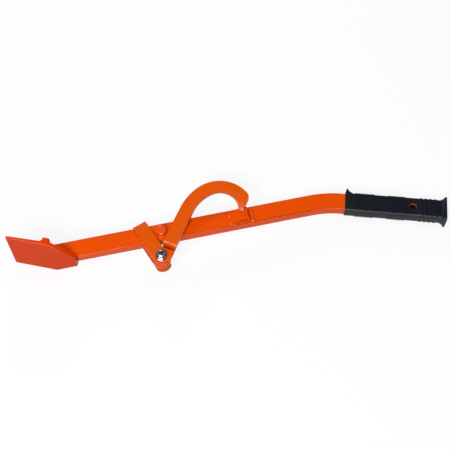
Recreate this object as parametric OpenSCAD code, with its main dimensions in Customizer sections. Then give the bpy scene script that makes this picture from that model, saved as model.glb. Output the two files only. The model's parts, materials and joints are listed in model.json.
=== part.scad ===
// Felling lever: a rectangular steel tube with a wide wedge blade welded on
// its front end, a rubber grip on its bent rear end, and a swinging turning
// hook that pivots in a clevis beside the tube.
// Millimetres. x runs along the tube from the blade to the grip, z is square
// to the tube's wide faces, and the origin is the bottom centre of the whole.

/* [Tube] */
// Width of the tube's wide faces
tube_width = 34; // [32:1:36]
// Height of the tube's narrow sides
tube_height = 20; // [20:1:22]
// Wall thickness of the tube
tube_wall = 2; // [1.5:0.25:3]
// Outer corner radius of the tube
tube_corner = 2.5; // [1.5:0.25:3]
// Angle that the handle is bent by
bend_angle = 17.7; // [12:0.1:22]
// Radius of the bend at the tube's mid line
bend_radius = 180; // [150:5:220]
// Length of the straight handle end behind the bend
handle_length = 189; // [187:1:191]

/* [Blade] */
// Distance from the start of the bend to the blade's heel
blade_reach = 442; // [430:1:470]
// Distance of the blade's heel below the tube's mid line
blade_offset = 23.6; // [22:0.2:26]
// Angle between the blade and the tube
blade_angle = 24; // [22:0.5:28]
// Length of the blade from heel to front edge
blade_length = 123.5; // [110:1:135]
// Length of the blade's flared heel
blade_flare = 43; // [36:1:50]
// Width of the blade's front
blade_width = 100; // [90:1:110]
// Width of the blade's heel
heel_width = 30; // [26:1:36]
// Thickness of the blade at its heel
heel_thickness = 8.8; // [7.5:0.1:10]
// Thickness of the blade at its front edge
edge_thickness = 4; // [3:0.25:5]
// Radius of the blade's front corners
blade_corner = 1; // [0.5:0.5:6]
// Length of the bevel behind the blade's front edge
bevel_length = 3; // [1.5:0.25:6]
// Depth of that bevel
bevel_depth = 1.2; // [0.5:0.1:2]

/* [Stop lugs] */
// Distance from the blade's shoulder to a stop lug
lug_start = 2.5; // [1:0.5:6]
// Length of a stop lug along the blade
lug_length = 13; // [9:0.5:15]
// Width of a stop lug across the blade
lug_width = 25; // [20:1:30]
// Height of a stop lug above the blade's flat face
lug_height = 14.5; // [12:0.5:17]

/* [Clevis] */
// Distance of the pivot in front of the start of the bend
pivot_reach = 291; // [285:1:300]
// Distance of the pivot from the tube's mid line
pivot_offset = 51.2; // [50:0.2:54]
// Thickness of each clevis plate
clevis_thickness = 5; // [4:0.5:6]
// Angle of the clevis straps against the tube
strap_angle = 110.2; // [106:0.2:113]
// Length of the clevis straps from the pivot
strap_length = 77; // [72:1:80]
// Distance of the strap's left edge from the pivot
strap_left = 14.6; // [13.6:0.2:15.4]
// Distance of the strap's right edge from the pivot
strap_right = 11.6; // [10.6:0.2:12.2]
// Height of the clevis lobe above the pivot
lobe_top = 18; // [16:0.25:18]
// Radius of both clevis plates' rounded lower ends about the pivot
lobe_radius = 17.4; // [16.6:0.1:17.7]
// Radius of the lobe's outer corner
lobe_corner = 3; // [2.5:0.5:5]
// Radius between the lobe and the strap
lobe_fillet = 5; // [3:0.5:6]

/* [Hook] */
// Angle of the hook's strap against a line square to the tube
hook_lean = 35.7; // [34.5:0.1:36.5]
// Thickness of the hook's plate
hook_thickness = 7.5; // [7:0.25:8]
// Radius of the round eye
eye_radius = 16; // [15:0.1:17]
// Distance of the strap's left edge from the pivot at the eye
hook_left = 9.1; // [8.5:0.1:9.6]
// Distance of the strap's right edge from the pivot
hook_right = 17.1; // [16.5:0.1:18]
// Narrowing of the hook's right edge at its base
hook_waist = 3.6; // [2:0.1:4]
// Distance from the pivot to the inner face of the joggle
joggle_reach = 24.5; // [24.3:0.1:25.3]
// Bend radius at the corners of the joggle
joggle_round = 3; // [1:0.5:3.5]
// Clearance between the tube and the hook at the joggle
hook_clearance = 2; // [1.7:0.1:2.5]
// Angle that the hook rises by away from the pivot
hook_rise = 5.06; // [5:0.02:5.6]
// Inset of the strap's left edge where the arch begins
arch_inset = 1.2; // [0.5:0.1:2]
// Distance from the pivot to the start of the outer arch
arch_start = 96.8; // [94:0.2:99]
// Radius of the first, flatter part of the outer arch
arch_radius = 101.3; // [99:0.1:104]
// Turn of the first part of the outer arch
arch_turn = 30; // [29:0.25:31]
// Radius of the crown
crown_radius = 65; // [64:0.1:66]
// Distance from the pivot line to the nose's outer edge
nose_side = 100.3; // [99.8:0.1:101.5]
// Radius of the nose's shoulder
nose_radius = 13.5; // [11:0.5:15]
// Distance from the pivot to the start of the inner arch
throat_start = 102.3; // [100:0.1:104]
// Radius of the first, flatter part of the inner arch
throat_radius = 66.6; // [65:0.1:68]
// Turn of the first part of the inner arch
throat_turn = 41.9; // [41:0.1:43]
// Radius of the inner crown
mouth_radius = 34.1; // [33.3:0.1:34.6]
// Turn of the inner crown
mouth_turn = 110.8; // [108:0.2:112]
// Distance from the pivot to the end of the point
point_reach = 138; // [137:0.25:140]
// Width of the point at its end
point_width = 8.5; // [6:0.25:9.5]
// Narrowing of the point's outer side
point_draft = 0.9; // [0.3:0.1:2]
// Length of the ground taper on the point
point_grind = 13; // [8:0.5:15]
// Thickness of the point at its end
point_thickness = 1.2; // [0.8:0.1:2]

/* [Hook stop] */
// Distance of the hook stop's axis behind the pivot along the tube
stop_reach = 9.3; // [8.5:0.1:9.5]
// Distance of the hook stop's axis from the tube's mid line
stop_offset = 1; // [0:0.1:2]
// Diameter of the hook stop
stop_diameter = 19; // [17:0.25:20]
// Height of the hook stop
stop_height = 11; // [9:0.25:12]
// Radius of the hook stop's rounded rim
stop_round = 2.5; // [1:0.25:4]

/* [Pivot] */
// Diameter of the bolt's shank
bolt_diameter = 10; // [9:0.25:10.5]
// Radial running clearance of the hook's eye on the bolt
eye_clearance = 0.05; // [0.03:0.01:0.09]
// Axial clearance between the hook's eye and each spacer
side_clearance = 0.08; // [0.05:0.01:0.2]
// Width across the flats of the nut and the bolt's head
across_flats = 17; // [16:0.25:18]
// Height of the nut's hexagon
nut_height = 7; // [6:0.25:8]
// Height of the round collar that holds the nut's ring
collar_height = 3; // [2.5:0.25:4]
// Height of the bolt's head
head_height = 6.4; // [5.5:0.1:7]
// Length of the bolt that stands out of the nut
bolt_stand = 1.5; // [0.5:0.25:4]
// Diameter of the washers
washer_diameter = 20; // [18.5:0.25:21]
// Thickness of the washers
washer_thickness = 2; // [1.5:0.1:2.5]
// Diameter of the spacer rings
spacer_diameter = 20; // [16:0.25:22]
// Turn of the nut
nut_turn = 12; // [0:1:60]

/* [Hook clip] */
// Distance of the clip's upper rear edge in front of the start of the bend
clip_reach = 121.8; // [121:0.1:123]
// Height of the clip above the tube
clip_height = 10; // [8:0.25:10]
// Sheet thickness of the clip
clip_sheet = 1.5; // [1.2:0.1:2]
// Length of the clip's flat top
clip_top = 7; // [5:0.25:9]
// Length of the clip's ramp
clip_ramp = 22; // [18:0.5:24]
// Length of the clip's feet
clip_foot = 7; // [6.5:0.25:8]
// Reach of the clip past the tube's mid line on the hook's side
clip_far = 13; // [10:0.5:14]
// Reach of the clip's bridge past the mid line on the other side
clip_near = 11; // [8:0.5:12]
// Reach of the clip's feet past the mid line on the other side
foot_near = 15.5; // [14:0.25:15.5]
// Diameter of the rivet heads
rivet_head = 6; // [5:0.2:6.6]
// Height of the rivet heads
rivet_dome = 1.7; // [1:0.1:2.4]
// Diameter of the rivets
rivet_diameter = 3.2; // [2.4:0.2:4]
// Distance between the rivets of one foot
rivet_pitch = 15.8; // [13:0.2:17]

/* [Grip] */
// Distance from the bend to the grip's front edge
grip_start = 6.3; // [5:0.1:9]
// Wall thickness of the grip
grip_wall = 2.1; // [1.6:0.1:2.6]
// Corner radius of the grip
grip_corner = 4.5; // [3.5:0.25:5.5]
// Thickness of the grip's closed end
grip_end = 3.4; // [2.5:0.1:5]
// Reach of the end collar beside the mid line
collar_side = 24.25; // [22.5:0.25:26]
// Reach of the end collar above the mid line
collar_rise = 17; // [15.5:0.25:18]
// Length of the end collar's flare
collar_flare = 8; // [5:0.5:11]
// Length of the end collar's straight rim
collar_rim = 1.75; // [1:0.25:4]
// Reach of the front flare beside the mid line
flare_side = 26.8; // [24.6:0.2:29]
// Length of the front flare
flare_length = 12.5; // [10:0.5:16]
// Lean of the front flare away from the blade
flare_lean = 2.4; // [1:0.1:4]
// Thickness of the front flare's lip
flare_lip = 1.5; // [1:0.25:3]
// Height of the grip's ribs
rib_height = 0.9; // [0.4:0.1:1]
// Pitch of the fine ribs
fine_pitch = 3; // [2.6:0.1:3.2]
// Pitch of the medium ribs
medium_pitch = 4.4; // [3.8:0.1:4.6]
// Pitch of the coarse ribs
coarse_pitch = 8.5; // [7.8:0.1:9]
// Distance from the bend to the hang hole
hang_reach = 131; // [128:0.5:134]
// Diameter of the hang hole through the tube
hang_diameter = 12; // [10:0.5:12.5]
// Diameter of the hang hole's rim in the grip
rim_diameter = 13.5; // [13:0.5:17]
// Distance from the bend to the round dimple
dimple_reach = 70.5; // [68:0.5:74]
// Diameter of the dimple
dimple_diameter = 12; // [8:0.5:14]
// Depth of the dimple
dimple_depth = 0.8; // [0.3:0.1:1]

/* [Welds] */
// Radius of the weld beads along the blade
blade_bead = 4; // [2.5:0.25:5]
// Radius of the weld beads beside the stop lugs
lug_bead = 3; // [1.5:0.25:4]
// Radius of the weld beads beside the clevis straps
strap_bead = 3; // [2:0.25:3.5]
// Radius of the weld bead around the hook stop
stop_bead = 2; // [1:0.25:2.5]

/* [Hidden] */
$fn = 64;

orange = [0.86, 0.35, 0.05];
zinc = [0.72, 0.74, 0.76];
black = [0.06, 0.065, 0.075];
nylon = [0.85, 0.86, 0.84];

half_height = tube_height/2;
bolt_radius = bolt_diameter/2;
pivot = [-pivot_reach, -pivot_offset];
heel = [-blade_reach, -blade_offset];
bend_end = bend_radius*[sin(bend_angle), cos(bend_angle) - 1];
grip_rear = handle_length + grip_end;
seat = half_height + clevis_thickness;
nut_floor = seat + washer_thickness;
nut_top = nut_floor + nut_height + collar_height;

// Centres of the tangent arcs of the hook's outline, in the hook's own plane
arch_centre = [arch_radius - hook_left + arch_inset, arch_start];
crown_centre = arch_centre
  + (arch_radius - crown_radius)*[-cos(arch_turn), sin(arch_turn)];
nose_gap = crown_radius - nose_radius;
nose_step = nose_side - nose_radius - crown_centre.x;
nose_centre = crown_centre + [nose_step, sqrt(nose_gap*nose_gap - nose_step*nose_step)];
nose_turn = acos(nose_step/nose_gap);
throat_centre = [hook_right + throat_radius, throat_start];
mouth_centre = throat_centre
  + (throat_radius - mouth_radius)*[-cos(throat_turn), sin(throat_turn)];
mouth_end = 180 - throat_turn - mouth_turn;

// Corners of the whole, from which the origin follows
front_x = heel.x - blade_length*cos(blade_angle);
rear_x = bend_end.x + grip_rear*cos(bend_angle) + collar_side*sin(bend_angle);
near_y = bend_end.y - grip_rear*sin(bend_angle) - collar_side*cos(bend_angle);
far_y = pivot.y + crown_centre.y*cos(hook_lean)
  - crown_centre.x*sin(hook_lean) + crown_radius;
origin = [-(front_x + rear_x)/2, -(near_y + far_y)/2, blade_width/2];

// Height of the hook's underside at a distance from the pivot
function under(s) = half_height + hook_clearance
  + (s - joggle_reach - joggle_round)*tan(hook_rise);
// Points of an arc about a centre
function arc(c, r, a, b, n = 10) =
  [for (i = [0:n]) c + r*[cos(a + (b - a)*i/n), sin(a + (b - a)*i/n)]];
// Unit vector at an angle
function dir(a) = [cos(a), sin(a)];
// Meeting point of two lines given by their unit normals and offsets
function meet(m, d, n, e) =
  [d*n.y - e*m.y, e*m.x - d*n.x]/(m.x*n.y - m.y*n.x);

// Rectangle with round corners about the origin
module round_rect(w, h, r) {
  square([w - 2*r, h], center = true);
  square([w, h - 2*r], center = true);
  for (x = [-1, 1], y = [-1, 1])
    translate([x*(w/2 - r), y*(h/2 - r)]) circle(r = r);
}

// Outer and hollow section of the tube
module tube_section(wall = 0) {
  round_rect(tube_width - 2*wall, tube_height - 2*wall, max(tube_corner - wall, 0.4));
}

// Stretch along the handle: children lie in its cross-section
module along_handle(start, length) {
  translate([bend_end.x, bend_end.y, 0]) rotate([0, 0, -bend_angle])
    translate([start, 0, 0]) rotate([90, 0, 90])
      linear_extrude(height = length) children();
}

// Whole tube as a bar, before it is cut at the blade
module tube_bar(wall = 0) {
  translate([-blade_reach - blade_length, 0, 0]) rotate([90, 0, 90])
    linear_extrude(height = blade_reach + blade_length) tube_section(wall);
  translate([0, -bend_radius, 0]) rotate([0, 0, 90 - bend_angle])
    rotate_extrude(angle = bend_angle, $fn = 180)
      translate([bend_radius, 0]) tube_section(wall);
  along_handle(0, handle_length) tube_section(wall);
}

// Frame of the blade: x from the heel to the front edge, the back towards -y
module on_blade() {
  translate([heel.x, heel.y, 0]) rotate([0, 0, 180 - blade_angle]) children();
}

// Wedge profile of the blade's thickness, grown towards the front by a margin
module blade_wedge(front = 0, near = 0) {
  slope = (heel_thickness - edge_thickness)/blade_length;
  polygon([[-60, near], [-60, -heel_thickness - 60*slope],
    [blade_length + front, -edge_thickness + front*slope], [blade_length + front, near]]);
}

// Corner that is ground off the back of the blade's front edge
module edge_bevel() {
  translate([0, 0, -blade_width]) linear_extrude(height = 2*blade_width)
    polygon([[blade_length - 2*bevel_length, -edge_thickness - bevel_depth],
      [blade_length + bevel_length, bevel_depth - edge_thickness + bevel_depth],
      [blade_length + bevel_length, -edge_thickness - 2*bevel_depth]]);
}

// Everything in front of the blade's back face
module blade_side() {
  on_blade() translate([0, 0, -blade_width])
    linear_extrude(height = 2*blade_width) blade_wedge(60, 200);
}

module lever_tube() {
  color(orange) translate(origin) difference() {
    tube_bar();
    tube_bar(tube_wall);
    blade_side();
    handle_hole(hang_diameter, hang_reach);
    rivet_shanks();
  }
}

// Drill across the handle's wide faces
module handle_hole(d, reach) {
  translate([bend_end.x, bend_end.y, 0]) rotate([0, 0, -bend_angle])
    translate([reach, 0, -tube_height]) cylinder(d = d, h = 2*tube_height);
}

module blade() {
  w = blade_width/2;
  h = heel_width/2;
  r = blade_corner;
  color(orange) translate(origin) on_blade() difference() {
    intersection() {
      rotate([90, 0, 0]) linear_extrude(height = 3*heel_thickness)
        polygon(concat([[0, h], [0, -h], [blade_flare, -w]],
          arc([blade_length - r, r - w], r, -90, 0, 4),
          arc([blade_length - r, w - r], r, 0, 90, 4), [[blade_flare, w]]));
      translate([0, 0, -w]) linear_extrude(height = 2*w) blade_wedge();
    }
    edge_bevel();
  }
}

module stop_lugs() {
  a = blade_flare + lug_start;
  color(orange) translate(origin) difference() {
    for (side = [0, 1]) mirror([0, 0, side]) on_blade()
      translate([0, 0, blade_width/2 - lug_width]) linear_extrude(height = lug_width)
        polygon([[a, -1], [a + lug_length, -1],
          [a + lug_length, -lug_height], [a + 1, -lug_height]]);
    blade_side();
  }
}

// Weld beads on both sides of each stop lug
module lug_weld() {
  a = blade_flare + lug_start;
  slope = (heel_thickness - edge_thickness)/blade_length;
  color(orange) translate(origin) difference() {
    for (side = [0, 1], u = [a, a + lug_length]) mirror([0, 0, side]) on_blade()
      translate([u, u*slope - heel_thickness, blade_width/2 - lug_width + 1])
        cylinder(r = lug_bead, h = lug_width - 2);
    blade_side();
    for (side = [0, 1]) mirror([0, 0, side]) on_blade()
      translate([a, -50, -blade_width]) cube([lug_length, 60, 2*blade_width]);
  }
}

// Weld beads where the tube's wide faces meet the blade's back
module blade_weld() {
  a = tube_width/2 - tube_corner;
  slope = atan((heel_thickness - edge_thickness)/blade_length);
  s0 = (blade_offset - a)/sin(blade_angle) + 3;
  s1 = (blade_offset + a)/sin(blade_angle) - 4;
  color(orange) translate(origin) difference() {
    for (z = [-half_height, half_height]) on_blade()
      translate([0, -heel_thickness, z]) rotate([0, 0, slope])
        translate([s0, 0, 0]) rotate([0, 90, 0]) rotate([0, 0, 90])
          cylinder(r = blade_bead, h = s1 - s0);
    blade_side();
    tube_bar();
  }
}

// Angle at which a strap's left edge meets the round lower end
function strap_low() = strap_angle + 180 - asin(strap_left/lobe_radius);
// Angle at which a strap's right edge meets the round lower end
function strap_high() = strap_angle + 270 - acos(strap_right/lobe_radius);

// Outline of the plain clevis plate about the pivot
module strap_outline() {
  n = dir(strap_angle - 90);
  e = dir(strap_angle);
  polygon(concat(
    [strap_length*e - strap_left*n],
    arc([0, 0], lobe_radius, strap_low(), strap_high(), 18),
    [strap_length*e + strap_right*n]));
}

// Outline of the clevis plate that has a lobe over the hook's base
module lobe_outline() {
  n = dir(strap_angle - 90);
  o = dir(-hook_lean);
  s = dir(90 - hook_lean);
  e = dir(strap_angle);
  bay = meet(n, strap_right + lobe_fillet, s, lobe_top + lobe_fillet);
  polygon(concat(
    [strap_length*e - strap_left*n],
    arc([0, 0], lobe_radius, strap_low(), 360 - hook_lean, 20),
    arc((lobe_radius - lobe_corner)*o + (lobe_top - lobe_corner)*s,
      lobe_corner, -hook_lean, 90 - hook_lean, 6),
    arc(bay, lobe_fillet, 270 - hook_lean, strap_angle + 90, 6),
    [strap_length*e + strap_right*n]));
}

// Clevis plate on the tube's upper face, with its outline as child
module clevis_plate() {
  translate([pivot.x, pivot.y, half_height]) difference() {
    linear_extrude(height = clevis_thickness) children();
    translate([0, 0, -1]) cylinder(r = bolt_radius, h = clevis_thickness + 2);
  }
}

module clevis_front() {
  color(orange) translate(origin) clevis_plate() lobe_outline();
}

module clevis_rear() {
  color(orange) translate(origin) mirror([0, 0, 1]) clevis_plate() strap_outline();
}

// Weld beads beside both straps on the tube's wide faces
module clevis_weld() {
  a = tube_width/2 - tube_corner;
  k = sin(strap_angle);
  color(orange) translate(origin) difference() {
    for (m = [0, 1], side = [-strap_left, strap_right]) mirror([0, 0, m])
      translate([pivot.x, pivot.y, half_height]) rotate([0, 0, strap_angle]) {
        start = (pivot_offset - a + side*cos(strap_angle))/k + strap_bead;
        translate([start, -side, 0]) rotate([0, 90, 0])
          cylinder(r = strap_bead, h = 2*a/k - 2*strap_bead);
      }
    tube_bar();
    clevis_plate() lobe_outline();
    mirror([0, 0, 1]) clevis_plate() strap_outline();
  }
}

// Frame of the hook: x to its right, y along its strap
module on_hook() {
  translate([pivot.x, pivot.y, 0]) rotate([0, 0, -hook_lean]) children();
}

// Plan outline of the hook, made of tangent arcs
module hook_outline() {
  inner = mouth_centre + mouth_radius*dir(mouth_end);
  polygon(concat(
    [[hook_right - hook_waist, 0], [hook_right - hook_waist, joggle_reach],
      [hook_right, joggle_reach], [hook_right, throat_start]],
    arc(throat_centre, throat_radius, 180, 180 - throat_turn, 14),
    arc(mouth_centre, mouth_radius, 180 - throat_turn, mouth_end, 26),
    [[nose_side - point_draft - point_width, point_reach],
      [nose_side - point_draft, point_reach]],
    arc(nose_centre, nose_radius, 0, nose_turn, 8),
    arc(crown_centre, crown_radius, nose_turn, 180 - arch_turn, 24),
    arc(arch_centre, arch_radius, 180 - arch_turn, 180, 12),
    [[-hook_left, 30], [-hook_left, 0]]));
  circle(r = eye_radius);
}

// Side profile of the hook: base, joggle and rising strap
module hook_profile() {
  t = hook_thickness;
  r = joggle_round;
  a = joggle_reach;
  end = 200;
  lean = hook_rise;
  polygon(concat(
    [[-eye_radius - 2, -t/2]],
    arc([a + t - r, r - t/2], r, 270, 360, 6),
    [[a + t, under(a + t)], [end, under(end)], [end, under(end) + t]],
    arc([a + r, under(a + r) + t - r/cos(lean)], r, 90 + lean, 180, 6),
    arc([a - 1.5, t/2 + 1.5], 1.5, 360, 270, 4),
    [[-eye_radius - 2, t/2]]));
}

// What is taken off the joggle's right side, which widens towards the strap
module hook_taper() {
  base = hook_right - hook_waist;
  top = half_height + hook_clearance;
  translate([0, joggle_reach + hook_thickness + 1, 0]) rotate([90, 0, 0])
    linear_extrude(height = hook_thickness + 2)
      polygon([[base, -hook_thickness], [base, hook_thickness/2], [hook_right, top],
        [hook_right + 9, top], [hook_right + 9, -hook_thickness]]);
}

module hook() {
  t = hook_thickness;
  g = point_reach;
  color(orange) translate(origin) on_hook() difference() {
    intersection() {
      translate([0, 0, -t]) linear_extrude(height = 80) hook_outline();
      translate([-40, 0, 0]) rotate([90, 0, 90])
        linear_extrude(height = 180) hook_profile();
    }
    hook_taper();
    translate([0, 0, -t]) cylinder(r = bolt_radius + eye_clearance, h = 2*t);
    translate([mouth_centre.x + 10, 0, 0]) rotate([90, 0, 90])
      linear_extrude(height = 60)
        polygon([[g - 5, under(g - 5) + point_thickness], [g, under(g) + point_thickness],
          [g + point_grind, under(g + point_grind) + t], [g + point_grind, 60], [g - 5, 60]]);
  }
}

// Turned boss that the hook's strap comes to rest against
module hook_stop() {
  r = stop_diameter/2;
  color(orange) translate(origin)
    translate([pivot.x + stop_reach, -stop_offset, half_height])
      rotate_extrude() polygon(concat([[0, 0], [r, 0]],
        arc([r - stop_round, stop_height - stop_round], stop_round, 0, 90, 6),
        [[0, stop_height]]));
}

module stop_weld() {
  r = stop_diameter/2;
  color(orange) translate(origin)
    translate([pivot.x + stop_reach, -stop_offset, half_height])
      difference() {
        rotate_extrude() polygon(concat([[r - 1, 0]],
          arc([r, 0], stop_bead, 0, 90, 6), [[r - 1, stop_bead]]));
        translate([0, 0, -1]) cylinder(r = r, h = stop_height);
      }
}

module pivot_bolt() {
  low = -nut_floor - head_height;
  color(zinc) translate(origin) on_hook() {
    translate([0, 0, low]) rotate([0, 0, nut_turn + 20])
      cylinder(d = across_flats/cos(30), h = head_height, $fn = 6);
    translate([0, 0, low + 1]) cylinder(r = bolt_radius, h = nut_top + bolt_stand - low - 1);
  }
}

module washers() {
  color(zinc) translate(origin) on_hook() for (m = [0, 1]) mirror([0, 0, m])
    translate([0, 0, seat]) difference() {
      cylinder(d = washer_diameter, h = washer_thickness);
      translate([0, 0, -1]) cylinder(r = bolt_radius, h = washer_thickness + 2);
    }
}

module spacers() {
  low = hook_thickness/2 + side_clearance;
  color(zinc) translate(origin) on_hook() for (m = [0, 1]) mirror([0, 0, m])
    translate([0, 0, low]) difference() {
      cylinder(d = spacer_diameter, h = half_height - low);
      translate([0, 0, -1]) cylinder(r = bolt_radius, h = half_height);
    }
}

// Hexagon with a round collar that is recessed for the locking ring
module lock_nut() {
  r = across_flats/2 - 0.6;
  color(zinc) translate(origin) on_hook() translate([0, 0, nut_floor]) difference() {
    union() {
      rotate([0, 0, nut_turn])
        cylinder(d = across_flats/cos(30), h = nut_height, $fn = 6);
      rotate_extrude() polygon(concat([[0, 1], [r, 1]],
        arc([r - 1.2, nut_height + collar_height - 1.2], 1.2, 0, 90, 5),
        [[0, nut_height + collar_height]]));
    }
    translate([0, 0, -1]) cylinder(r = bolt_radius, h = nut_height + collar_height + 2);
    translate([0, 0, nut_height + 0.5]) cylinder(r = bolt_radius + 1.6, h = collar_height);
  }
}

module nut_ring() {
  color(nylon) translate(origin) on_hook() translate([0, 0, nut_floor + nut_height + 0.5])
    difference() {
      cylinder(r = bolt_radius + 1.6, h = collar_height - 1);
      translate([0, 0, -1]) cylinder(r = bolt_radius, h = collar_height + 1);
    }
}

// Side profile of the bent clip from its front foot to its rear foot
module clip_profile() {
  t = clip_sheet;
  h = clip_height;
  w = clip_reach;
  top = w + clip_top;
  low = top + clip_ramp;
  polygon([[-low - clip_foot, 0], [-low, 0], [-low + 5, 0.12*h], [-top - 8, 0.74*h - t],
    [-top, h - 0.6 - t], [-w - 0.9, h - t], [-w + 4 - t, 0], [-w + 4 + clip_foot, 0],
    [-w + 4 + clip_foot, t], [-w + 4.6, t], [-w, h], [-top, h - 0.6],
    [-top - 8, 0.74*h], [-low + 4.5, 0.12*h + t], [-low - 0.5, t], [-low - clip_foot, t]]);
}

module hook_clip() {
  color(orange) translate(origin) difference() {
    translate([0, clip_far, half_height]) rotate([90, 0, 0])
      linear_extrude(height = clip_far + foot_near) clip_profile();
    translate([-clip_reach - clip_top - clip_ramp + 4, -clip_near - 20, half_height - 1])
      cube([clip_top + clip_ramp + 1, 20, clip_height + 5]);
    rivet_shanks();
  }
}

// Places of the four rivets on the tube's upper wide face
module at_rivets() {
  low = clip_reach + clip_top + clip_ramp;
  for (p = [[-low - clip_foot/2, -2.8], [-clip_reach + 4.4 + clip_foot/2, -4.4]],
      k = [-0.5, 0.5])
    translate([p.x, p.y + k*rivet_pitch, half_height]) children();
}

module rivet_shanks() {
  at_rivets() translate([0, 0, -tube_wall - 1])
    cylinder(d = rivet_diameter, h = tube_wall + 1 + clip_sheet);
}

module clip_rivets() {
  a = rivet_head/2;
  r = (a*a + rivet_dome*rivet_dome)/(2*rivet_dome);
  color(orange) translate(origin) {
    rivet_shanks();
    at_rivets() translate([0, 0, clip_sheet]) intersection() {
      translate([0, 0, rivet_dome - r]) sphere(r = r);
      cylinder(r = a, h = 2*rivet_dome);
    }
  }
}

// Evenly spaced raised bands around the grip
module ribs(start, pitch, count) {
  w = tube_width + 2*grip_wall + 2*rib_height;
  h = tube_height + 2*grip_wall + 2*rib_height;
  for (i = [0:count - 1])
    along_handle(start + i*pitch, 0.55*pitch)
      round_rect(w, h, grip_corner + rib_height);
}

// Closed collar that widens with an arc on all four sides
module end_collar() {
  a = tube_width/2 + grip_wall - 0.3;
  b = tube_height/2 + grip_wall - 0.3;
  rim = grip_rear - collar_rim;
  start = rim - collar_flare;
  intersection() {
    translate([bend_end.x, bend_end.y, -50]) rotate([0, 0, -bend_angle])
      linear_extrude(height = 100) polygon(concat(
        [for (i = [0:8]) [start + collar_flare*i/8, a + (collar_side - a)*pow(i/8, 2)]],
        [[grip_rear, collar_side], [grip_rear, -collar_side]],
        [for (i = [8:-1:0]) [start + collar_flare*i/8, -a - (collar_side - a)*pow(i/8, 2)]]));
    translate([bend_end.x, bend_end.y, 0]) rotate([0, 0, -bend_angle])
      translate([0, 50, 0]) rotate([90, 0, 0]) linear_extrude(height = 100) polygon(concat(
        [for (i = [0:8]) [start + collar_flare*i/8, b + (collar_rise - b)*pow(i/8, 2)]],
        [[grip_rear, collar_rise], [grip_rear, -collar_rise]],
        [for (i = [8:-1:0]) [start + collar_flare*i/8, -b - (collar_rise - b)*pow(i/8, 2)]]));
    along_handle(start, grip_rear - start) round_rect(2*collar_side + 1, 2*collar_rise + 1, 6.5);
  }
}

// Thumb stop that curls out from the front edge on the hook's side
module front_flare() {
  a = tube_width/2 + grip_wall - 0.3;
  b = tube_height/2 + grip_wall - 0.5;
  s = grip_start;
  tip = s + flare_lean;
  k = flare_length - flare_lean - flare_lip;
  translate([bend_end.x, bend_end.y, -b]) rotate([0, 0, -bend_angle])
    linear_extrude(height = 2*b) polygon(concat(
      [[s, a - grip_corner - 1], [s, a - 1], [tip, flare_side - 0.7], [tip + 0.5, flare_side],
        [tip + flare_lip, flare_side]],
      [for (i = [1:8]) [tip + flare_lip + k*i/8, a + (flare_side - a)*pow(1 - i/8, 2)]],
      [[s + flare_length, a - grip_corner - 1]]));
}

module grip() {
  w = tube_width + 2*grip_wall;
  h = tube_height + 2*grip_wall;
  color(black) translate(origin) difference() {
    union() {
      along_handle(grip_start, grip_rear - grip_start) round_rect(w, h, grip_corner);
      ribs(26, fine_pitch, 11);
      ribs(86, medium_pitch, 7);
      ribs(144, coarse_pitch, 4);
      end_collar();
      front_flare();
    }
    along_handle(0, handle_length) tube_section();
    handle_hole(rim_diameter, hang_reach);
    translate([bend_end.x, bend_end.y, 0]) rotate([0, 0, -bend_angle])
      translate([dimple_reach, -5.7, h/2 - dimple_depth])
        cylinder(d = dimple_diameter, h = 5);
  }
}

lever_tube();
blade();
stop_lugs();
blade_weld();
lug_weld();
clevis_front();
clevis_rear();
clevis_weld();
hook();
hook_stop();
stop_weld();
pivot_bolt();
washers();
spacers();
lock_nut();
nut_ring();
hook_clip();
clip_rivets();
grip();
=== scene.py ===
# Felling lever: orange steel tube with a wedge blade, a swinging hook and a rubber grip.
import bpy
import json
import math
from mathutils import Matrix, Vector

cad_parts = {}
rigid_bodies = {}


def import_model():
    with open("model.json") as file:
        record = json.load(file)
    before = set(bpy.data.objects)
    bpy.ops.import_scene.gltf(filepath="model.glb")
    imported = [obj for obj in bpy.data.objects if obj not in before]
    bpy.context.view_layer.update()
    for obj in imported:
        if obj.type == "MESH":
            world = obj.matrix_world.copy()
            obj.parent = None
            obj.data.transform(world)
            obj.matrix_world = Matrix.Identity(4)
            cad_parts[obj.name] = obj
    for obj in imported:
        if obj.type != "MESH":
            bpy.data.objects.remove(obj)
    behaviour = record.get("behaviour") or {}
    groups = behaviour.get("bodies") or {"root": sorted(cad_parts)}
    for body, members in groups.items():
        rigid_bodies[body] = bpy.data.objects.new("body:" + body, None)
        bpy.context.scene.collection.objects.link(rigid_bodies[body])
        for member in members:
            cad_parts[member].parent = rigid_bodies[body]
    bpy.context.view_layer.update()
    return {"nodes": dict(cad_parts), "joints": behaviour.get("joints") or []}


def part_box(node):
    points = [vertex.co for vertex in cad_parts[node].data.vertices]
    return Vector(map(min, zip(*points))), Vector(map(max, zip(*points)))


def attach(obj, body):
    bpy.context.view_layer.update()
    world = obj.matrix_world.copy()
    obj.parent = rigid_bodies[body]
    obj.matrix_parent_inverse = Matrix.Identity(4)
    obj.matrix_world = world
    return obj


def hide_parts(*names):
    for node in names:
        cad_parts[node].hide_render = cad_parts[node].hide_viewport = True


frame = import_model()
print("stage: frame loaded")

layout = {
    "handleStart": (0.345726, 0.042679, 0),  # where the handle turns straight, from the pivot
    "handleTurn": math.radians(17.7),
    "hookLean": math.radians(35.7),
}
pivot = Vector(frame["joints"][0]["pos_m"])  # middle of the hook's eye
handleStart = pivot + Vector(layout["handleStart"])
handleTurn = layout["handleTurn"]
hookLean = layout["hookLean"]


def deselectAll():
    if bpy.context.mode != "OBJECT":
        bpy.ops.object.mode_set(mode="OBJECT")
    bpy.ops.object.select_all(action="DESELECT")


def pick(*objects):
    deselectAll()
    for item in objects:
        item.select_set(True)
    bpy.context.view_layer.objects.active = objects[0]


def settle(piece):
    pick(piece)
    bpy.ops.object.transform_apply(location=True, rotation=True, scale=True)


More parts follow.
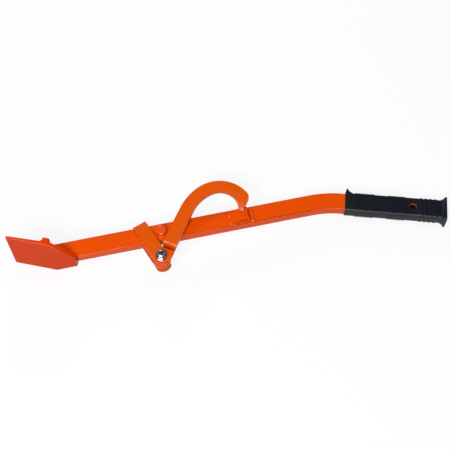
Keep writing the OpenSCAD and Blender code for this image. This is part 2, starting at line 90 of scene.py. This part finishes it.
def applyAll(piece):
    pick(piece)
    for modifier in list(piece.modifiers):
        bpy.ops.object.modifier_apply(modifier=modifier.name)


def smoothBy(piece, degrees=32):
    pick(piece)
    bpy.ops.object.shade_smooth_by_angle(angle=math.radians(degrees))


def selectWhere(piece, test, kind):
    # selects edges or vertices by their place, and stays in edit mode
    pick(piece)
    bpy.ops.object.mode_set(mode="EDIT")
    bpy.ops.mesh.select_mode(type=kind)
    bpy.ops.mesh.select_all(action="DESELECT")
    bpy.ops.object.mode_set(mode="OBJECT")
    mesh = piece.data
    if kind == "EDGE":
        for edge in mesh.edges:
            a, b = (mesh.vertices[i].co for i in edge.vertices)
            edge.select = test(a, b)
    else:
        for vertex in mesh.vertices:
            vertex.select = test(vertex.co)
    bpy.ops.object.mode_set(mode="EDIT")


def roundEdges(piece, width, segments):
    bevel = piece.modifiers.new("edges", "BEVEL")
    bevel.width = width
    bevel.segments = segments
    bevel.limit_method = "ANGLE"
    bevel.angle_limit = math.radians(30)
    bevel.harden_normals = False
    applyAll(piece)


def cutWith(piece, tool, operation="DIFFERENCE"):
    cut = piece.modifiers.new("cut", "BOOLEAN")
    cut.operation = operation
    cut.solver = "EXACT"
    cut.object = tool
    applyAll(piece)
    bpy.data.objects.remove(tool, do_unlink=True)


class Value:
    # wraps an output socket, so that shader maths reads as plain expressions
    def __init__(self, tree, socket):
        self.tree = tree
        self.socket = socket

    def math(self, operation, *others):
        node = self.tree.nodes.new("ShaderNodeMath")
        node.operation = operation
        for slot, item in zip(node.inputs, others):
            if isinstance(item, Value):
                self.tree.links.new(item.socket, slot)
            else:
                slot.default_value = item
        return Value(self.tree, node.outputs[0])

    def __add__(self, other):
        return self.math("ADD", self, other)

    def __rsub__(self, other):
        return self.math("SUBTRACT", other, self)

    def __mul__(self, other):
        return self.math("MULTIPLY", self, other)

    __radd__ = __add__
    __rmul__ = __mul__


class Finish:
    # one material: its node tree, its shader and a method that makes any node
    def __init__(self, name, **sockets):
        self.material = bpy.data.materials.new(name)
        self.material.use_nodes = True
        self.tree = self.material.node_tree
        self.shader = self.tree.nodes["Principled BSDF"]
        for key, value in sockets.items():
            self.shader.inputs[key.replace("_", " ")].default_value = value
        self.place = self.node("ShaderNodeTexCoord", out="Object")

    def node(self, kind, settings=None, sockets=None, out=0):
        made = self.tree.nodes.new(kind)
        for key, value in (settings or {}).items():
            if key == "stops":
                ramp = made.color_ramp.elements
                while len(ramp) < len(value):
                    ramp.new(0.5)
                for element, (position, colour) in zip(ramp, value):
                    element.position = position
                    element.color = colour
            else:
                setattr(made, key, value)
        for key, value in (sockets or {}).items():
            if isinstance(value, Value):
                self.tree.links.new(value.socket, made.inputs[key])
            else:
                made.inputs[key].default_value = value
        return Value(self.tree, made.outputs[out])

    def noise(self, scale, detail=2, roughness=0.5):
        return self.node("ShaderNodeTexNoise", None,
                         {"Vector": self.place, "Scale": scale, "Detail": detail,
                          "Roughness": roughness}, "Fac")

    def ramp(self, value, *stops):
        return self.node("ShaderNodeValToRGB", {"stops": stops}, {"Fac": value})

    def mix(self, factor, a, b):
        return self.node("ShaderNodeMix", {"data_type": "RGBA"}, {0: factor, 6: a, 7: b}, 2)

    def edges(self, radius):
        # 0 on flat stretches, towards 1 where an edge is within the radius
        soft = self.node("ShaderNodeBevel", {"samples": 4}, {"Radius": radius})
        sharp = self.node("ShaderNodeNewGeometry", None, None, "Normal")
        facing = self.node("ShaderNodeVectorMath", {"operation": "DOT_PRODUCT"},
                           {0: soft, 1: sharp}, "Value")
        return 1.0 - facing

    def bump(self, height, strength, distance, under=None):
        sockets = {"Height": height, "Strength": strength, "Distance": distance}
        if under is not None:
            sockets["Normal"] = under
        return self.node("ShaderNodeBump", None, sockets)

    def feed(self, socket, value):
        self.tree.links.new(value.socket, self.shader.inputs[socket])


def dress(piece, finish):
    piece.data.materials.clear()
    piece.data.materials.append(finish.material)


print("stage: materials")
paintLook = {
    "tube": (0.79, 0.076, 0.0006),
    "hook": (0.73, 0.090, 0.0006),
    "blade": (0.725, 0.050, 0.0004),
    "deepShare": 0.92,  # how much darker the paint lies in broad clouds
    "wornLift": (0.05, 0.06, 0.012),  # what thin paint along the edges adds
    "wornReach": 0.0008,
    "wornShare": 1.4,
    "cloudScale": 7,
    "fineScale": 60,
    "speckScale": 520,
    "speckStops": ((0.66, (0, 0, 0, 1)), (0.74, (1, 1, 1, 1))),
    "coat": (0.03, 2.2),  # gloss on flat faces, and what an edge adds
    "coatReach": 0.0016,
    "roughness": 0.20,
    "peelScale": 1400,
    "peelHeight": 0.00003,
    "gritScale": 420,
    "gritHeight": 0.001,
}


def makePaint(name, shade, index, grit=0.0):
    # index is the index of refraction, grit the roughness of what lies under the paint
    look = paintLook
    colour = look[shade] + (1,)
    deep = tuple(look["deepShare"] * part for part in look[shade]) + (1,)
    thin = tuple(part + lift for part, lift in zip(look[shade], look["wornLift"])) + (1,)
    paint = Finish(name, Metallic=0.0, IOR=index, Coat_Roughness=0.05)
    broad = paint.noise(look["cloudScale"], 3)
    fine = paint.noise(look["fineScale"], 4, 0.6)
    peel = paint.noise(look["peelScale"], 1)
    specks = paint.ramp(paint.noise(look["speckScale"], 2, 0.7), *look["speckStops"])
    body = paint.mix(broad, deep, colour)
    wear = paint.edges(look["wornReach"]) * fine * look["wornShare"]
    flatCoat, edgeCoat = look["coat"]
    paint.feed("Base Color", paint.mix(wear, body, thin))
    paint.feed("Coat Weight", flatCoat + edgeCoat * paint.edges(look["coatReach"]))
    paint.feed("Roughness", look["roughness"] + 0.08 * fine + 0.05 * specks + grit * 0.2)
    skin = paint.bump(peel, 0.35, look["peelHeight"])
    if grit:
        lumps = paint.noise(look["gritScale"], 3, 0.6)
        skin = paint.bump(lumps, 0.8, grit * look["gritHeight"], skin)
    paint.feed("Normal", skin)
    return paint


tubePaint = makePaint("orangePaintTube", "tube", 1.20)
hookPaint = makePaint("orangePaintHook", "hook", 1.28)
bladePaint = makePaint("orangePaintBlade", "blade", 1.08)
headPaint = makePaint("orangePaintHeads", "tube", 1.50)
weldPaint = makePaint("orangePaintOverWeld", "tube", 1.25, 0.5)

# bare steel inside the tube's hollow, its colour darkened to near black as painted shade of the
# hollow's depths
insideShadeLook = {"dark": (0.020, 0.016, 0.014, 1), "light": (0.055, 0.045, 0.040, 1)}
bareSteelShaded = Finish("bareSteelPaintedShadeInside", Metallic=0.4)
steelCloud = bareSteelShaded.noise(90, 3)
bareSteelShaded.feed("Base Color", bareSteelShaded.mix(steelCloud, insideShadeLook["dark"], insideShadeLook["light"]))
bareSteelShaded.feed("Roughness", 0.55 + 0.2 * steelCloud)

zincLook = {"light": (0.62, 0.66, 0.74, 1), "dark": (0.36, 0.42, 0.52, 1)}
zinc = Finish("brightZinc", Metallic=1.0)
zincCloud = zinc.noise(260, 4, 0.6)
zincGrain = zinc.noise(2600, 2)
zinc.feed("Base Color", zinc.mix(zincCloud, zincLook["dark"], zincLook["light"]))
zinc.feed("Roughness", 0.17 + 0.14 * zincCloud)
zinc.feed("Normal", zinc.bump(zincGrain, 0.25, 0.00003))

nylonLook = {"colour": (0.30, 0.36, 0.48, 1), "pale": (0.45, 0.50, 0.58, 1)}
nylon = Finish("lockingNylon", IOR=1.5)
nylonCloud = nylon.noise(900, 2)
nylon.feed("Base Color", nylon.mix(nylonCloud, nylonLook["colour"], nylonLook["pale"]))
nylon.feed("Roughness", 0.42 + 0.12 * nylonCloud)

rubberLook = {"colour": (0.0050, 0.0068, 0.0105, 1), "paler": (0.016, 0.020, 0.028, 1)}
rubber = Finish("blackRubber", IOR=1.45, Specular_IOR_Level=0.22)
rubberCloud = rubber.noise(38, 4, 0.6)
rubberGrain = rubber.noise(1700, 3, 0.6)
# the rubber turns paler and bluer in broad clouds and along every rounded edge
rubberPaling = rubberCloud * 0.5 + rubber.edges(0.0009) * 0.8
rubber.feed("Base Color", rubber.mix(rubberPaling, rubberLook["colour"], rubberLook["paler"]))
rubber.feed("Roughness", 0.34 + 0.12 * rubberCloud)
rubber.feed("Normal", rubber.bump(rubberGrain, 0.4, 0.00008))


print("stage: steel pieces and grip")


def softened(node, name, width, segments):
    # twin of a plain CAD piece: joined, cleared of flat edges, then rounded along its edges
    source = frame["nodes"][node]
    pick(source)
    bpy.ops.object.duplicate(linked=False)
    piece = bpy.context.view_layer.objects.active
    piece.name = name
    bpy.ops.object.parent_clear(type="CLEAR_KEEP_TRANSFORM")
    bpy.ops.object.mode_set(mode="EDIT")
    bpy.ops.mesh.select_all(action="SELECT")
    bpy.ops.mesh.remove_doubles(threshold=0.000002)
    bpy.ops.mesh.customdata_custom_splitnormals_clear()
    bpy.ops.mesh.dissolve_limited(angle_limit=math.radians(0.4))
    bpy.ops.object.mode_set(mode="OBJECT")
    settle(piece)
    if width:
        roundEdges(piece, width, segments)
    smoothBy(piece)
    return piece


roundedPieces = {
    # CAD piece: (name, width of the rounded edges, body, finish, slot)
    "lever_tube": ("tubeBody", 0.0, "lever", tubePaint, "paint"),
    "blade": ("wedgeBlade", 0.0010, "lever", bladePaint, "paint"),
    "stop_lugs": ("stopLugs", 0.0012, "lever", bladePaint, "paint"),
    "clevis_front": ("clevisPlateFront", 0.0006, "lever", hookPaint, "paint"),
    "clevis_rear": ("clevisPlateRear", 0.0006, "lever", hookPaint, "paint"),
    "hook": ("turningHook", 0.0008, "hook", hookPaint, "paint"),
    "hook_stop": ("stopBoss", 0.0, "lever", headPaint, "paint"),
    "hook_clip": ("hookClip", 0.0005, "lever", tubePaint, "paint"),
    "blade_weld": ("bladeWeld", 0.0, "lever", weldPaint, "paint"),
    "lug_weld": ("lugWeld", 0.0, "lever", weldPaint, "paint"),
    "stop_weld": ("stopWeld", 0.0, "lever", weldPaint, "paint"),
    "pivot_bolt": ("pivotBolt", 0.0005, "lever", zinc, "zinc"),
    "washers": ("flatWashers", 0.0003, "lever", zinc, "zinc"),
    "spacers": ("spacerRings", 0.0003, "lever", zinc, "zinc"),
    "nut_ring": ("lockingRing", 0.0002, "lever", nylon, "nylon"),
    "clip_rivets": ("clipRivets", 0.0, "lever", headPaint, "paint"),
    "grip": ("rubberGrip", 0.0003, "lever", rubber, "rubber"),
}
flatEdges = ("blade", "hook_clip")  # sheared edges with a narrow flat chamfer
for node, (name, width, body, finish, slot) in roundedPieces.items():
    piece = softened(node, name, width, 1 if node in flatEdges else 3)
    dress(piece, finish)
    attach(piece, body)
    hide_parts(node)
    print("piece:", name, len(piece.data.polygons), "faces")


print("stage: bend of the hook")
across = Vector((math.cos(hookLean), -math.sin(hookLean), 0))
along = Vector((math.sin(hookLean), math.cos(hookLean), 0))
bendLook = {
    "radius": 0.009,
    "wall": 0.0245,  # from the pivot to the bend's upright face
    "top": 0.02003,  # height of the strap's upper face above the pivot, at that wall
    "rise": math.radians(5.06),
    "block": (0.034, 0.012),  # width and height of what is cut away
    "middle": 0.004,  # the strap's middle, across from the pivot
    "lap": 0.002,  # how far the cut reaches past the wall
}


def onHook(o, s, z):
    return pivot + across * o + along * s + Vector((0, 0, z))


def roundBend(piece):
    # gives the strap's upper bend the wide radius of bent plate
    look = bendLook
    middle = (look["wall"] + look["radius"], look["top"] - look["radius"] / math.cos(look["rise"]))
    near = look["wall"] - look["lap"]
    far = middle[0] - look["radius"] * math.sin(look["rise"])
    width, height = look["block"]
    bpy.ops.mesh.primitive_cube_add(
        size=1, location=onHook(look["middle"], (near + far) / 2, middle[1] + height / 2),
        rotation=(0, 0, -hookLean))
    corner = bpy.context.active_object
    corner.scale = (width, far - near, height)
    settle(corner)
    bpy.ops.mesh.primitive_cylinder_add(
        vertices=128, radius=look["radius"], depth=0.06, location=onHook(look["middle"], *middle),
        rotation=(0, math.radians(90), -hookLean))
    cutWith(corner, bpy.context.active_object)
    cutWith(piece, corner)
    smoothBy(piece)


roundBend(bpy.data.objects["turningHook"])

print("stage: grip and tube end")
handleDir = Vector((math.cos(handleTurn), -math.sin(handleTurn), 0))
handleSide = Vector((math.sin(handleTurn), math.cos(handleTurn), 0))
gripLook = {
    # width, height and corner radius of each block
    "body": (0.0384, 0.0244, 0.0045),
    "band": (0.0402, 0.0262, 0.0054),
    "bore": (0.0345, 0.0205, 0.0022),
    "zones": ((0.0255, 0.0340, 0.0049), (0.0855, 0.0320, 0.0053)),  # start, length, rib pitch
    "groove": 0.0017,
    "cutter": 0.05,  # wider and higher than the grip
    "lap": 0.001,  # how far an inner block reaches past an outer one at each end
    "rear": 0.1895,  # where the rear rim begins, along the handle
    "rounding": 0.0009,
}
tubeEndLook = {
    "inside": (0.0151, 0.0081),  # half the hollow's width and height
    "from": 0.01,  # along the handle
}


def handleBlock(start, length, width, height, corner=0.0):
    # block along the handle, with the four long edges rounded
    bpy.ops.mesh.primitive_cube_add(
        size=1, location=handleStart + handleDir * (start + length / 2),
        rotation=(0, 0, -handleTurn))
    block = bpy.context.active_object
    block.scale = (length, width, height)
    settle(block)
    if corner:
        selectWhere(block, lambda a, b: abs((b - a).normalized().dot(handleDir)) > 0.9, "EDGE")
        bpy.ops.mesh.bevel(offset=corner, segments=6, affect="EDGES")
        deselectAll()
    return block


def handleShell(start, length, outer, inner):
    # the same block, hollowed by a longer one
    lap = gripLook["lap"]
    shell = handleBlock(start, length, *outer)
    cutWith(shell, handleBlock(start - lap, length + 2 * lap, *inner))
    return shell


grip = bpy.data.objects["rubberGrip"]
for start, length, pitch in gripLook["zones"]:
    cutWith(grip, handleShell(start, length, gripLook["band"], gripLook["bore"]), "UNION")
    for i in range(1, int(length / pitch) + 1):
        place = start + i * pitch - gripLook["groove"]
        cutter = (gripLook["cutter"], gripLook["cutter"])
        cutWith(grip, handleShell(place, gripLook["groove"], cutter, gripLook["body"]))
selectWhere(grip, lambda place: (place - handleStart).dot(handleDir) > gripLook["rear"], "VERT")
bpy.ops.mesh.select_mode(type="EDGE")
bpy.ops.mesh.bevel(offset=gripLook["rounding"], segments=3, affect="EDGES", clamp_overlap=True)
deselectAll()
smoothBy(grip)

tube = bpy.data.objects["tubeBody"]
# the hollow end takes the near-black steel: painted shade inside the tube
tube.data.materials.append(bareSteelShaded.material)
halfWidth, halfHeight = tubeEndLook["inside"]
for face in tube.data.polygons:
    place = face.center - handleStart
    hollow = abs(place.dot(handleSide)) < halfWidth and abs(place.z) < halfHeight
    if place.dot(handleDir) > tubeEndLook["from"] and hollow:
        face.material_index = 1

print("stage: strap welds")
weldLook = {
    "angle": math.radians(110.2),  # the strap's direction
    "level": 0.010,  # half the tube's height
    "size": 0.0013,
    "step": 0.0019,
    "ripple": (0.12, 5.3),  # share by which the drops differ, and how fast
    "voxel": 0.0003,
    "runs": ((-0.0146, 0.0459, 0.0732), (0.0116, 0.0363, 0.0636)),  # sideways, start, end
}
strapUp = Vector((math.cos(weldLook["angle"]), math.sin(weldLook["angle"]), 0))
strapOut = Vector((math.sin(weldLook["angle"]), -math.cos(weldLook["angle"]), 0))
share, beat = weldLook["ripple"]
drops = []
deselectAll()
for side in (-1, 1):
    for out, start, end in weldLook["runs"]:
        count = int((end - start) / weldLook["step"])
        for i in range(count + 1):
            bpy.ops.mesh.primitive_ico_sphere_add(
                subdivisions=3, radius=weldLook["size"] * (1 + share * math.sin(beat * i)),
                location=pivot + strapOut * out + strapUp * (start + i * weldLook["step"])
                + Vector((0, 0, side * weldLook["level"])))
            drops.append(bpy.context.active_object)
pick(*drops)
bpy.ops.object.join()
strapWeld = bpy.context.active_object
strapWeld.name = "strapWeld"
settle(strapWeld)
melt = strapWeld.modifiers.new("melt", "REMESH")
melt.mode = "VOXEL"
melt.voxel_size = weldLook["voxel"]
applyAll(strapWeld)
smoothBy(strapWeld, 60)
dress(strapWeld, weldPaint)
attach(strapWeld, "lever")
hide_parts("clevis_weld")

print("stage: lock nut")
nutLook = {
    # width over flats, radii and heights above the nut's foot
    "flats": 0.0170, "hexagon": 0.0076, "chamfer": 0.0083,
    "turn": 6.3,  # degrees
    "collar": 0.0066, "collarFoot": 0.004, "collarTop": 0.0100, "collarRound": 0.0009,
    "recess": 0.0057, "recessFloor": 0.0082, "recessTop": 0.02, "rounding": 0.00022,
}


def column(radius, low, high, vertices=72, turn=0.0, tip=None):
    # upright cylinder or, with a tip radius, a blunt cone on the pivot's axis
    bpy.ops.mesh.primitive_cone_add(
        vertices=vertices, radius1=radius, radius2=radius if tip is None else tip,
        depth=high - low, location=(pivot.x, pivot.y, (low + high) / 2),
        rotation=(0, 0, math.radians(turn)))
    return bpy.context.active_object


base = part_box("lock_nut")[0][2]
deselectAll()
nut = column(nutLook["flats"] / 2 / math.cos(math.radians(30)), base, base + nutLook["hexagon"],
             6, nutLook["turn"])
nut.name = "lockNut"
settle(nut)
slope = math.tan(math.radians(60)) * nutLook["hexagon"]
cutWith(nut, column(nutLook["chamfer"] + slope, base, base + nutLook["hexagon"],
                    tip=nutLook["chamfer"]), "INTERSECT")
collar = column(nutLook["collar"], base + nutLook["collarFoot"], base + nutLook["collarTop"])
settle(collar)
roundEdges(collar, nutLook["collarRound"], 4)
cutWith(nut, collar, "UNION")
cutWith(nut, column(nutLook["recess"], base + nutLook["recessFloor"],
                    base + nutLook["recessTop"]))
roundEdges(nut, nutLook["rounding"], 2)
smoothBy(nut, 28)
dress(nut, zinc)
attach(nut, "lever")
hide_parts("lock_nut")


print("stage: floor, light and camera")
studio = {
    "floorTilt": 0.0458,  # the lever rests on the blade's lower edge and the grip's collar
    "floorFoot": -0.328,
    "floorSize": 80,
    "floorGlow": 0.84,  # share of plain white in what the camera and reflections see
    "floorColour": (0.9, 0.9, 0.9, 1),
    "floorBounce": (0.62, 0.62, 0.62, 1),  # keeps the gaps between the pieces dark
    "keyPower": 53, "keyPlace": (-0.9, -1.4, 1.9), "keySize": (1.5, 0.9),
    "topPower": 24, "topPlace": (0.3, -0.1, 2.6), "topSize": (2.4, 2.4),
    "rimPower": 18, "rimPlace": (-0.1, 2.0, 1.0), "rimSize": (0.7, 0.25),
    "cardPower": 125, "cardPlace": (-1.0, -2.1, 1.15), "cardSize": (2.9, 0.9),
    "lampAim": (-0.02, 0.0, 0.05),  # the lamps' places are counted from here
    "worldColour": (1, 1, 1, 1),
    "worldLevel": 0.05,
}
deselectAll()
bpy.ops.mesh.primitive_plane_add(size=studio["floorSize"], location=(studio["floorFoot"], 0, 0),
                                 rotation=(0, -math.atan(studio["floorTilt"]), 0))
floor = bpy.context.active_object
floor.name = "paleFloor"
settle(floor)
floorLook = Finish("paleFloor", Roughness=0.8, IOR=1.2, Specular_IOR_Level=0.0)
bounce = floorLook.node("ShaderNodeLightPath", out="Is Diffuse Ray")
floorLook.feed("Base Color", floorLook.mix(bounce, studio["floorColour"], studio["floorBounce"]))
rays = [floorLook.node("ShaderNodeLightPath", out="Is %s Ray" % kind)
        for kind in ("Camera", "Glossy", "Transmission")]
seen = (rays[0] + rays[1] + rays[2]) * studio["floorGlow"]
matt = Value(floorLook.tree, floorLook.shader.outputs[0])
glow = floorLook.node("ShaderNodeEmission", None, {"Strength": 1.0})
blend = floorLook.node("ShaderNodeMixShader", None, {0: seen, 1: matt, 2: glow})
floorLook.tree.links.new(blend.socket, floorLook.tree.nodes["Material Output"].inputs[0])
dress(floor, floorLook)

world = bpy.data.worlds.new("softRoom")
bpy.context.scene.world = world
world.use_nodes = True
background = world.node_tree.nodes["Background"].inputs
background[0].default_value = studio["worldColour"]
background[1].default_value = studio["worldLevel"]

lampAim = Vector(studio["lampAim"])
for lamp in ("key", "top", "rim", "card"):
    data = bpy.data.lights.new(lamp + "Lamp", "AREA")
    data.energy = studio[lamp + "Power"]
    data.shape = "RECTANGLE"
    data.size, data.size_y = studio[lamp + "Size"]
    light = bpy.data.objects.new(lamp + "Lamp", data)
    bpy.context.collection.objects.link(light)
    light.location = lampAim + Vector(studio[lamp + "Place"])
    light.rotation_euler = (lampAim - light.location).to_track_quat("-Z", "Y").to_euler()
    light.visible_glossy = lamp != "top"  # the top lamp stays out of reflections
    light.visible_diffuse = lamp != "card"  # the card only gives the bends their highlights

cameraFit = {
    "azimuth": math.radians(-12.39),
    "elevation": math.radians(61.96),
    "distance": 1.71595,
    "target": (0.12585, 0.0451, 0),  # from the pivot
    "lens": 74.909,
    "sensor": 36,
}
a, e = cameraFit["azimuth"], cameraFit["elevation"]
back = Vector((math.sin(a) * math.cos(e), -math.cos(a) * math.cos(e), math.sin(e)))
cameraData = bpy.data.cameras.new("photoCamera")
cameraData.sensor_width = cameraFit["sensor"]
cameraData.lens = cameraFit["lens"]
camera = bpy.data.objects.new("photoCamera", cameraData)
bpy.context.collection.objects.link(camera)
camera.location = pivot + Vector(cameraFit["target"]) + back * cameraFit["distance"]
camera.rotation_euler = (-back).to_track_quat("-Z", "Y").to_euler()
bpy.context.scene.camera = camera
bpy.context.scene.view_settings.view_transform = "Standard"

print("stage: done")
